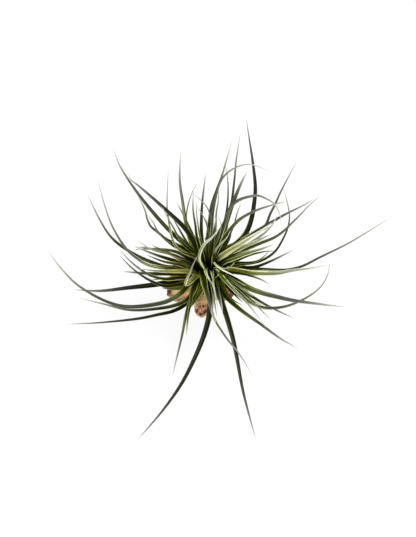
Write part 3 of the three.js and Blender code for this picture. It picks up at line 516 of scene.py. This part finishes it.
def silver_bloomed_leaf():
    """Living bromeliad leaf under a coat of tiny silver scales: satin, with pale and dark stripes along its
    veins, a pale line at each margin, olive near the base, greyer towards the dry thread of the tip, and with
    painted shade among the crowded bases and in the heart."""
    material, tree, surface = new_finish("silver_bloomed_leaf")
    along, across, upper, bloom, young, seed, reach = (
        add(tree, "Attribute", {}, output="Fac", attribute_name=name)
        for name in ("along", "across", "upper", "bloom", "young", "seed", "reach"))
    # Four or five stripes lie side by side on a blade, and run unbroken for about 30 mm
    stripe = add(tree, "CombineXYZ", {
        "X": add(tree, "Math", {0: across, 1: 3.2}, operation="MULTIPLY"),
        "Y": add(tree, "Math", {0: reach, 1: 30 * MM}, operation="DIVIDE"),
        "Z": add(tree, "Math", {0: seed, 1: 90.0}, operation="MULTIPLY")})
    veins = add(tree, "TexNoise", {"Vector": stripe, "Scale": 1.0, "Detail": 3.0})
    # The scales are about 0.2 mm across, and are drawn at 0.714 mm so that they show
    place = add(tree, "TexCoord", {}, output="Object")
    scales = add(tree, "TexNoise", {"Vector": place, "Scale": 1 / (0.714 * MM), "Detail": 2.0})
    edge = add(tree, "Math", {0: across}, operation="ABSOLUTE")
    margin = add(tree, "MapRange", {"Value": edge, "From Min": 0.62, "From Max": 0.9}, **SMOOTH)
    # From 30 to 80 mm along a blade they thin out, but less on silver leaves
    outer = add(tree, "MapRange", {
        "Value": reach, "From Min": 30 * MM, "From Max": 80 * MM, "To Min": 1.0, "To Max": 0.3}, **SMOOTH)
    outer = add(tree, "Math", {0: outer, 1: bloom}, operation="MAXIMUM")
    # Between the crowded bases the old leaves are painted darker as shade, the more so the less bloom they
    # have
    out = add(tree, "VectorMath", {
        0: place, 1: [c * MM for c in HEART]}, output="Value", operation="DISTANCE")
    painted_crowd_shade = add(tree, "MapRange", {
        "Value": out, "From Min": 10 * MM, "From Max": 36 * MM, "To Min": 0.16, "To Max": 0.0}, **SMOOTH)
    bare = add(tree, "Math", {0: 1.0, 1: bloom}, operation="SUBTRACT")
    painted_crowd_shade = add(tree, "Math", {0: painted_crowd_shade, 1: bare}, operation="MULTIPLY")
    # How much of the blade the scales cover, from none to all of it; a bloom below 0 takes it lower still, as
    # painted shade
    cover = add(tree, "Math", {0: bloom, 1: 0.8, 2: -0.02}, operation="MULTIPLY_ADD")
    cover = add(tree, "Math", {0: cover, 1: outer}, operation="MULTIPLY")
    margin = add(tree, "Math", {0: margin, 1: outer}, operation="MULTIPLY")
    cover = add(tree, "Math", {0: margin, 1: 0.5, 2: cover}, operation="MULTIPLY_ADD")
    for pattern, weight in [(veins, 1.7), (scales, 0.22)]:
        swing = add(tree, "Math", {0: pattern, 1: 0.5}, operation="SUBTRACT")
        cover = add(tree, "Math", {0: swing, 1: weight, 2: cover}, operation="MULTIPLY_ADD")
    cover = add(tree, "Math", {0: cover, 1: painted_crowd_shade}, operation="SUBTRACT")
    # Painted shade: the upper face, where the channel lies, is a little darker, and the underside a little
    # paler
    cover = add(tree, "Math", {0: upper, 1: -0.05, 2: cover}, operation="MULTIPLY_ADD", use_clamp=True)
    colour = add(tree, "ValToRGB", {"Fac": cover}, stops=[
        (0.0, "#151A04"), (0.2, "#323A0B"), (0.4, "#5E652A"), (0.6, "#8F9459"), (0.8, "#C2C795"),
        (1.0, "#E2E6C2")])
    # Near the base old leaves are more olive than young ones, and every colour is stronger
    base = add(tree, "MapRange", {
        "Value": reach, "From Min": 5 * MM, "From Max": 55 * MM, "To Min": 1.0, "To Max": 0.0}, **SMOOTH)
    age = add(tree, "Math", {0: young, 1: -0.6, 2: 0.8}, operation="MULTIPLY_ADD")
    base = add(tree, "Math", {0: base, 1: age}, operation="MULTIPLY")
    colour = add(tree, "Mix", {
        0: base, 6: colour, 7: linear("#9A9014")}, blend_type="SOFT_LIGHT", **COLOURS)
    vivid = add(tree, "MapRange", {
        "Value": reach, "From Min": 15 * MM, "From Max": 66 * MM, "To Min": 1.3, "To Max": 0.5}, **SMOOTH)
    vivid = add(tree, "Math", {0: bloom, 1: -0.18, 2: vivid}, operation="MULTIPLY_ADD")
    # Some leaves are greener and some more olive, by up to 9 degrees of hue
    hue = add(tree, "Math", {0: seed, 1: 0.05, 2: 0.475}, operation="MULTIPLY_ADD")
    colour = add(tree, "HueSaturation", {"Hue": hue, "Saturation": vivid, "Color": colour})
    # At the left of the crown the oldest leaves die back: gold, with cream streaks along the veins
    side = add(tree, "VectorMath", {
        0: place, 1: [c * MM for c in FADING]}, output="Value", operation="DISTANCE")
    fading = add(tree, "MapRange", {
        "Value": side, "From Min": 2 * MM, "From Max": 15 * MM, "To Min": 0.9, "To Max": 0.0}, **SMOOTH)
    gold = add(tree, "Math", {0: fading, 1: 0.55}, operation="MULTIPLY")
    colour = add(tree, "Mix", {0: gold, 6: colour, 7: linear("#8E8222")}, blend_type="COLOR", **COLOURS)
    streaks = add(tree, "MapRange", {"Value": veins, "From Min": 0.54, "From Max": 0.66}, **SMOOTH)
    streaks = add(tree, "Math", {0: streaks, 1: fading}, operation="MULTIPLY")
    colour = add(tree, "Mix", {0: streaks, 6: colour, 7: linear("#E4C990")}, **COLOURS)
    # The thread of the tip is dry and grey: the more bloom, the sooner that sets in along the blade
    dry = add(tree, "MapRange", {"Value": reach, "From Min": 30 * MM, "From Max": 60 * MM}, **SMOOTH)
    onset = add(tree, "Math", {0: bloom, 1: -5.0, 2: 7.0}, operation="MULTIPLY_ADD")
    onset = add(tree, "Math", {0: onset, 1: 4.0}, operation="MAXIMUM")
    tip = add(tree, "Math", {0: along, 1: onset}, operation="POWER")
    tip = add(tree, "Math", {0: tip, 1: dry}, operation="MULTIPLY")
    colour = add(tree, "Mix", {0: tip, 6: colour, 7: linear("#BCBCB0")}, **COLOURS)
    # Deep in the heart the bases are painted nearly black as the shade among the leaves, closer in on silver
    # leaves
    depth = add(tree, "Math", {0: bloom, 1: 0.6, 2: 1.0}, operation="MULTIPLY_ADD")
    depth = add(tree, "Math", {0: out, 1: depth}, operation="MULTIPLY")
    painted_throat_shade = add(tree, "MapRange", {
        "Value": depth, "From Min": 7 * MM, "From Max": 17 * MM, "To Min": 0.97, "To Max": 0.0}, **SMOOTH)
    colour = add(tree, "Mix", {0: painted_throat_shade, 6: colour, 7: linear("#090C04")}, **COLOURS)
    tree.links.new(colour, surface.inputs["Base Color"])
    rough = add(tree, "MapRange", {"Value": cover, "To Min": 0.45, "To Max": 0.65})
    tree.links.new(rough, surface.inputs["Roughness"])
    surface.inputs["Specular IOR Level"].default_value = 0.12
    bump = add(tree, "Bump", {"Height": veins, "Strength": 0.6, "Distance": 0.2 * MM})
    tree.links.new(bump, surface.inputs["Normal"])
    return material


def sheath_flesh():
    """The short stem where the leaf sheaths pack together: dark olive above, and brown below, where old
    sheaths have dried."""
    material, tree, surface = new_finish("sheath_flesh")
    place = add(tree, "TexCoord", {}, output="Object")
    height = add(tree, "SeparateXYZ", {"Vector": place}, output="Z")
    # Dried and living sheaths show in patches of about 4 mm
    mottle = add(tree, "TexNoise", {"Vector": place, "Scale": 1 / (3.85 * MM), "Detail": 4.0})
    level = add(tree, "MapRange", {"Value": height, "From Min": SEAT_HEIGHT * MM, "From Max": 30 * MM})
    swing = add(tree, "Math", {0: mottle, 1: 0.5}, operation="SUBTRACT")
    level = add(tree, "Math", {0: swing, 1: 0.7, 2: level}, operation="MULTIPLY_ADD")
    colour = add(tree, "ValToRGB", {"Fac": level}, stops=[
        (0.0, "#5A4020"), (0.35, "#5E561C"), (0.7, "#333B12"), (1.0, "#11160A")])
    tree.links.new(colour, surface.inputs["Base Color"])
    surface.inputs["Roughness"].default_value = 0.6
    surface.inputs["Specular IOR Level"].default_value = 0.2
    return material


def raw_cork():
    """Raw cork bark: dry, matt and crumbly. It is cream-orange on its top, partly its own colour and partly
    painted highlight, dusty pink-brown with fine growth lines on its flanks, dark red-brown in its pits, and
    pale where its lower edge has broken. Cream patches of painted highlight lie on the lobes' tops, and a
    painted shadow at the right."""
    material, tree, surface = new_finish("raw_cork")
    place = add(tree, "TexCoord", {}, output="Object")
    pit, painted_shadow, painted_highlight = (
        add(tree, "Attribute", {}, output="Fac", attribute_name=name) for name in ("pit", "painted_shadow", "painted_highlight"))
    height = add(tree, "SeparateXYZ", {"Vector": place}, output="Z")
    # Patches 7.7 mm across, and grain of 1.1 mm. The crumbs are finer, and are drawn at 0.625 mm
    patches = add(tree, "TexNoise", {"Vector": place, "Scale": 1 / (7.7 * MM), "Detail": 2.0})
    grain = add(tree, "TexNoise", {"Vector": place, "Scale": 1 / (1.11 * MM), "Detail": 4.0})
    crumbs = add(tree, "TexVoronoi", {"Vector": place, "Scale": 1 / (0.625 * MM)})
    # Growth lines 1.4 mm apart, in planes that dip to the front. A scale of 1 gives 20 radians a metre
    layers = add(tree, "Mapping", {"Vector": place, "Rotation": (math.radians(35), 0, 0)})
    lines = add(tree, "TexWave", {
        "Vector": layers, "Scale": 2 * math.pi / (20 * 1.4 * MM), "Distortion": 0.6, "Detail": 0.0},
        output="Fac", bands_direction="Y")
    # From dusty flank to cream top, by height and by each pattern; the cream top is partly the cork's own
    # colour and partly painted highlight where the light falls on it
    tone = add(tree, "MapRange", {
        "Value": height, "From Min": 12.2 * MM, "From Max": 14.2 * MM, "To Min": 0.4, "To Max": 0.68})
    for pattern, weight in [(grain, 0.85), (patches, 1.5), (lines, 0.22)]:
        swing = add(tree, "Math", {0: pattern, 1: 0.5}, operation="SUBTRACT")
        tone = add(tree, "Math", {0: swing, 1: weight, 2: tone}, operation="MULTIPLY_ADD")
    colour = add(tree, "ValToRGB", {"Fac": tone}, stops=[
        (0.15, "#6A422C"), (0.35, "#AE7E60"), (0.5, "#D8AC84"), (0.65, "#F8CE8E"), (0.85, "#FFEFCC")])
    # Cream patches on the lobes' tops are painted highlight, where the light falls strongly on them
    highlight_colour = add(tree, "ValToRGB", {"Fac": grain}, stops=[
        (0.35, "#F0A458"), (0.5, "#FFD38C"), (0.65, "#FFF0D0")])
    colour = add(tree, "Mix", {0: painted_highlight, 6: colour, 7: highlight_colour}, **COLOURS)
    rim = add(tree, "MapRange", {
        "Value": height, "From Min": 3 * MM, "From Max": 5 * MM, "To Min": 0.6, "To Max": 0.0})
    colour = add(tree, "Mix", {0: rim, 6: colour, 7: linear("#E6CDB2")}, **COLOURS)
    # Painted shadow at the right, where the leaves above shade the cork: dark red-brown with a few pale
    # specks
    shaded_cork = add(tree, "ValToRGB", {"Fac": grain}, stops=[
        (0.35, "#3A1A0E"), (0.55, "#6E3A20"), (0.64, "#D99A66"), (0.72, "#F2D9B8")])
    colour = add(tree, "Mix", {0: painted_shadow, 6: colour, 7: shaded_cork}, **COLOURS)
    # The grain breaks up the dark of the pits
    dark = add(tree, "ValToRGB", {"Fac": grain}, stops=[(0.3, "#3C140C"), (0.7, "#80402A")])
    swing = add(tree, "Math", {0: grain, 1: 0.5}, operation="SUBTRACT")
    depth = add(tree, "Math", {0: swing, 1: 0.9, 2: pit}, operation="MULTIPLY_ADD", use_clamp=True)
    depth = add(tree, "Math", {0: depth, 1: pit}, operation="MULTIPLY")
    colour = add(tree, "Mix", {0: depth, 6: colour, 7: dark}, **COLOURS)
    tree.links.new(colour, surface.inputs["Base Color"])
    surface.inputs["Roughness"].default_value = 0.92
    surface.inputs["Specular IOR Level"].default_value = 0.25
    relief = add(tree, "Math", {0: crumbs, 1: 0.6, 2: grain}, operation="MULTIPLY_ADD")
    bump = add(tree, "Bump", {"Height": relief, "Strength": 0.9, "Distance": 0.5 * MM})
    tree.links.new(bump, surface.inputs["Normal"])
    return material


def wiry_root():
    """Dry air-plant root: dull dark brown, lightly ridged, and paler in spots of 2 mm where the skin has
    worn."""
    material, tree, surface = new_finish("wiry_root")
    place = add(tree, "TexCoord", {}, output="Object")
    wear = add(tree, "TexNoise", {"Vector": place, "Scale": 1 / (2 * MM), "Detail": 4.0})
    colour = add(tree, "ValToRGB", {"Fac": wear}, stops=[
        (0.3, "#2E1F14"), (0.55, "#5A4430"), (0.75, "#8A7152")])
    tree.links.new(colour, surface.inputs["Base Color"])
    surface.inputs["Roughness"].default_value = 0.8
    bump = add(tree, "Bump", {"Height": wear, "Strength": 0.6, "Distance": 0.3 * MM})
    tree.links.new(bump, surface.inputs["Normal"])
    return material


def leaf_rosette():
    """All the blades in one mesh. Along a blade the section is a closed loop round its thickness, bent into
    a channel: across is half the width times the cosine of the turn, and up is the channel's depth times a
    power of that cosine, plus half the thickness times the sine. The width runs from the blade's to the
    thread's as a power of what is left of the length, and to the sheath's at the base as a bell curve."""
    leaves = [drawn_leaf(*leaf) for leaf in LEAVES] + hidden_leaves()
    random = random_from(SEED + 1)
    seeds = np.array([random() for _ in leaves])
    twists = np.radians([between((-TWIST, TWIST), random()) for _ in leaves])
    spines, lengths = zip(*(spline(leaf["points"], STEPS_ALONG) for leaf in leaves))
    spines, lengths = np.array(spines), np.array(lengths)[:, None]
    tangents = np.gradient(spines, axis=1)
    tangents /= np.linalg.norm(tangents, axis=2, keepdims=True)
    lean = np.array([leaf["lean"] for leaf in leaves])
    sides = carried_sides(tangents, np.column_stack([-lean[:, 1], lean[:, 0], np.zeros(len(leaves))]))
    above = np.cross(tangents, sides)
    share = np.linspace(0, 1, STEPS_ALONG)[None, :]
    twist = (twists[:, None] * share**TWIST_POWER)[..., None]
    sides, above = (
        sides * np.cos(twist) + above * np.sin(twist), above * np.cos(twist) - sides * np.sin(twist))

    width = np.array([leaf["width"] for leaf in leaves])[:, None]
    blade = TIP_WIDTH + (width - TIP_WIDTH) * (1 - share) ** TIP_BLUNTNESS
    sheath = np.minimum(SHEATH_WIDTH, SHEATH_SHARE * width)
    blade = blade + (sheath - blade) * np.exp(-((share * lengths / SHEATH_LENGTH) ** 2))
    ending = np.sqrt(1 + TIP_REST - share**TIP_CUT)[..., None]
    blade = blade[..., None] * ending
    turn = np.linspace(0, 2 * np.pi, STEPS_AROUND, endpoint=False)[None, None, :]
    channel = CHANNEL * (1 + CHANNEL_GROWTH * share[..., None])
    thickness = MIDRIB * (1 - MIDRIB_LOSS * share[..., None]) * ending + MIDRIB_GROWTH * blade
    sideways = blade / 2 * np.cos(turn)
    upwards = channel * blade * np.abs(np.cos(turn)) ** CHANNEL_POWER + thickness / 2 * np.sin(turn)
    vertices = (
        spines[:, :, None] + sides[:, :, None] * sideways[..., None] + above[:, :, None] * upwards[..., None])

    # The rings of every blade come first, then the point that closes each base, then the one at each tip
    count = len(leaves)
    ring = STEPS_ALONG * STEPS_AROUND
    points = np.vstack([vertices.reshape(-1, 3), spines[:, 0], spines[:, -1]])
    faces = []
    for i in range(count):
        centres = (count * ring + i, count * ring + count + i)
        faces += closed_faces(STEPS_ALONG, STEPS_AROUND, i * ring, centres)

    def spread(values, base, tip):
        rings = np.broadcast_to(values, (count, STEPS_ALONG, STEPS_AROUND)).reshape(-1)
        return np.concatenate([rings, base, tip])

    none = np.zeros(count)
    bloom = np.array([leaf["bloom"] for leaf in leaves])
    young = np.interp([leaf["age"] for leaf in leaves], BASE_HEIGHTS, (0, 1))
    attributes = {
        "along": spread(share[..., None], none, none + 1),
        "across": spread(np.cos(turn), none, none),
        "upper": spread(np.sin(turn), none, none),
        "bloom": spread(bloom[:, None, None], bloom, bloom),
        "young": spread(young[:, None, None], young, young),
        "seed": spread(seeds[:, None, None], seeds, seeds),
        "reach": spread((share * lengths)[..., None], none, lengths[:, 0]) * MM,
    }
    mesh_piece("leaf_blades", points, faces, silver_bloomed_leaf(), ["leaf_rosette"], attributes)


def sheath_bundle():
    """The stem under the leaf bases, turned from its profile, with the radius rippled by two sets of crossing
    spirals where sheaths overlap."""
    def ripple(turn, height):
        rising = np.abs(np.sin(4 * turn + 0.5 * height))
        falling = np.abs(np.sin(6.5 * turn - 0.4 * height))
        return 1 + 0.05 * rising + 0.04 * falling

    profile, _ = spline(STEM_PROFILE, count=40)
    points, faces = turned(profile, 96, ripple)
    mesh_piece("sheath_bundle", points, faces, sheath_flesh(), ["leaf_rosette"], {})


def bark_lumps(x, y):
    """Lumps of the cork from three crossing waves, less the fissures that wander between them, each a bell
    curve about a zero of a fourth wave."""
    across, along = np.pi * x / LUMP_SPACING, np.pi * y / LUMP_SPACING
    lumps = (
        np.sin(across + 0.9) * np.cos(0.85 * along - 0.4) + 0.8 * np.sin(1.5 * across + 1.15 * along)
        + 0.65 * np.cos(2.1 * along - 1.05 * across + 1.2))
    fissure = np.sin(0.8 * across + 0.4 * along + 0.8 * np.sin(0.65 * along)) / FISSURE_WIDTH
    return LUMP_HEIGHT * lumps - FISSURE_DEPTH * np.exp(-(fissure**2))


def bark_top(x, y):
    """The height of the bark's top at a place, from how far out it lies on the way to the outline."""
    outline, _ = spline(BARK_OUTLINE, count=240, closed=True)
    arm = outline - BARK_MIDDLE
    bearing = np.arctan2(arm[:, 1], arm[:, 0])
    order = np.argsort(bearing)
    edge = np.interp(
        np.arctan2(y - BARK_MIDDLE[1], x - BARK_MIDDLE[0]), bearing[order],
        np.linalg.norm(arm, axis=1)[order], period=2 * np.pi)
    reach = np.hypot(x - BARK_MIDDLE[0], y - BARK_MIDDLE[1]) / edge
    height = np.interp(reach, *zip(*BARK_TOP))
    return height + bark_lumps(x, y) * height / BARK_THICKNESS


def nearness(places, spots):
    """How near places lie to any of some spots: the negative exponential of the fourth power of the distance
    over the spot's radius, added up."""
    return sum(np.exp(-((np.linalg.norm(places - spot[:3], axis=1) / spot[3]) ** 4)) for spot in spots)


def cork_chunk():
    """The outline shrunk towards its middle at each step of the profile, lifted by the lumps, then pushed
    along its own normals by layers of noise, less the hollows and the pits where one more runs high."""
    columns, rows = 420, 170
    outline, _ = spline(BARK_OUTLINE, columns, closed=True)
    profile, _ = spline(np.array(BARK_PROFILE) * [BARK_REACH, 1], rows)
    profile = profile / [BARK_REACH, 1]
    profile[:, 1] = np.maximum(profile[:, 1], 0)
    flat = BARK_MIDDLE + (outline[None] - BARK_MIDDLE) * profile[:, None, :1]
    height = profile[:, None, 1]
    lumps = bark_lumps(flat[..., 0], flat[..., 1]) * height / BARK_THICKNESS
    grid = np.concatenate([flat, np.maximum(height + lumps, 0)[..., None]], axis=-1)
    round_it = np.roll(grid, -1, axis=1) - np.roll(grid, 1, axis=1)
    down_it = np.gradient(grid, axis=0)
    normal = np.cross(down_it, round_it)
    normal /= np.maximum(np.linalg.norm(normal, axis=-1, keepdims=True), 1e-9)
    places = grid.reshape(-1, 3)
    rough = sum(rise * (lattice_noise(places, cell, seed) - 0.5) for rise, cell, seed in ROUGH_LAYERS)
    pits = np.interp(lattice_noise(places, PIT_SIZE, PIT_SEED), PIT_LEVELS, (0, 1))
    pits = pits * pits * (3 - 2 * pits)
    hollow = nearness(places, HOLLOWS)
    push = np.minimum(rough - PIT_DEPTH * (pits + hollow), MOST_RISE) * np.clip(
        places[:, 2] / SMOOTH_FOOT, 0, 1)
    points = places + normal.reshape(-1, 3) * push[:, None]
    points[:, 2] = np.maximum(points[:, 2], 0)
    # Dark in pits, hollows and low fissures, and less so where the skin stands out
    low = np.interp(bark_lumps(places[:, 0], places[:, 1]), LOW_LEVELS, (1, 0))
    dark = np.clip(0.7 * pits + 1.2 * hollow + 0.2 * low - 0.4 * rough, 0, 1)
    points = np.vstack([points, points[:columns].mean(axis=0), points[-columns:].mean(axis=0)])
    # The rows run down, so the faces are turned over to point outwards
    size = rows * columns
    faces = [block[:, ::-1] for block in closed_faces(rows, columns, 0, (size, size + 1))]
    attributes = {
        "pit": np.concatenate([dark, [0, 0]]),
        "painted_shadow": nearness(points, SHADOW_SPOTS),
        "painted_highlight": np.minimum(nearness(points, HIGHLIGHT_SPOTS), 1)}
    mesh_piece("cork_chunk", points, faces, raw_cork(), ["cork_bark"], attributes)


def root_path(azimuth, start, length, bend, wander):
    """A root's path over the bark: out along its direction, aside by the square of the distance gone, with
    a small wander, and always lying on the bark's own top."""
    share = np.linspace(0, 1, ROOT_STEPS)
    angle = math.radians(azimuth)
    out = between((start, length), share)
    aside = bend * share**2 + wander * np.sin(ROOT_TURN * share)
    x = math.cos(angle) * out - math.sin(angle) * aside
    y = math.sin(angle) * out + math.cos(angle) * aside
    seat = SEAT_HEIGHT - ROOT_RADIUS - ROOT_HEADROOM
    return np.column_stack([x, y, np.minimum(bark_top(x, y) + ROOT_LIFT, seat)])


def clasping_roots():
    """The brown foot of the stem, turned from a profile, and the roots that spread from it over the bark,
    thinner by a power of the way gone."""
    profile, _ = spline(FOOT_PROFILE, count=20)
    points, faces = turned(profile, 64, lambda turn, height: 1 + 0.06 * np.sin(7 * turn + 0.6 * height))
    random = random_from(SEED + 2)
    roots = []
    for azimuth, length, bend in ROOTS:
        roots.append((root_path(azimuth, ROOT_START, length, bend, MAIN_WANDER), ROOT_RADIUS))
        for _ in range(FINE_COUNT):
            turn = azimuth + between((-FINE_SPREAD, FINE_SPREAD), random())
            fine_length = length * between(FINE_LENGTHS, random())
            fine_bend = between((-bend, bend), random())
            fine = root_path(turn, FINE_START, fine_length, fine_bend, FINE_WANDER)
            roots.append((fine, FINE_RADIUS * ROOT_RADIUS))
    taper = 1 - ROOT_TAPER * np.linspace(0, 1, ROOT_STEPS) ** 1.5
    size = ROOT_STEPS * ROOT_SIDES
    for path, radius in roots:
        first = len(points)
        points = np.vstack([points, tube(path, radius * taper, ROOT_SIDES)])
        faces += closed_faces(ROOT_STEPS, ROOT_SIDES, first, (first + size, first + size + 1))
    mesh_piece("clasping_roots", points, faces, wiry_root(), ["stem_and_roots"], {})


def white_floor():
    """A wide sheet of plain white paper under the bark."""
    bpy.ops.mesh.primitive_plane_add(size=8, location=(0, 0, -0.3 * MM))
    floor = bpy.context.object
    floor.name = "white_floor"
    material, _, surface = new_finish("white_paper")
    surface.inputs["Base Color"].default_value = linear("#484848")
    surface.inputs["Roughness"].default_value = 0.9
    surface.inputs["Emission Color"].default_value = linear("#FFFFFF")
    surface.inputs["Emission Strength"].default_value = 0.9
    floor.data.materials.append(material)


def soft_light():
    """White light from all round, with a large soft key from the back right and a weak one from the left."""
    world = bpy.data.worlds.new("studio")
    bpy.context.scene.world = world
    world.use_nodes = True
    background = world.node_tree.nodes["Background"]
    background.inputs["Color"].default_value = linear("#FFFFFF")
    background.inputs["Strength"].default_value = 0.4
    for name, place, size, power in [
            ("key", (0.9, 0.7, 1.6), 1.1, 62), ("fill", (-0.6, -1.1, 1.2), 1.2, 16)]:
        light = bpy.data.lights.new(name, "AREA")
        light.size = size
        light.energy = power
        lamp = bpy.data.objects.new(name, light)
        lamp.location = place
        lamp.rotation_euler = (-Vector(place)).to_track_quat("-Z", "Y").to_euler()
        bpy.context.collection.objects.link(lamp)


def camera():
    """A camera at the photograph's angle, with the crown at its place in the picture."""
    back = Vector((0, -math.cos(VIEW_ELEVATION), math.sin(VIEW_ELEVATION)))
    up = Vector((0, math.sin(VIEW_ELEVATION), math.cos(VIEW_ELEVATION)))
    right = Vector((1, 0, 0))
    aside = (IMAGE_WIDTH / 2 - CROWN_PIXEL[0]) * PIXEL_SIZE
    raised = (CROWN_PIXEL[1] - IMAGE_HEIGHT / 2) * PIXEL_SIZE
    aim = Vector((0, 0, CROWN_HEIGHT)) + right * aside + up * raised
    data = bpy.data.cameras.new("camera")
    data.sensor_width = SENSOR
    data.lens = SENSOR * VIEW_DISTANCE / (IMAGE_HEIGHT * PIXEL_SIZE)
    data.clip_end = 20
    view = bpy.data.objects.new("camera", data)
    view.location = (aim + back * VIEW_DISTANCE) * MM
    view.rotation_euler = (-back).to_track_quat("-Z", "Y").to_euler()
    bpy.context.collection.objects.link(view)
    bpy.context.scene.camera = view
    bpy.context.scene.view_settings.view_transform = "Standard"


camera()
cork_chunk()
clasping_roots()
sheath_bundle()
leaf_rosette()
white_floor()
soft_light()

bpy.context.view_layer.update()
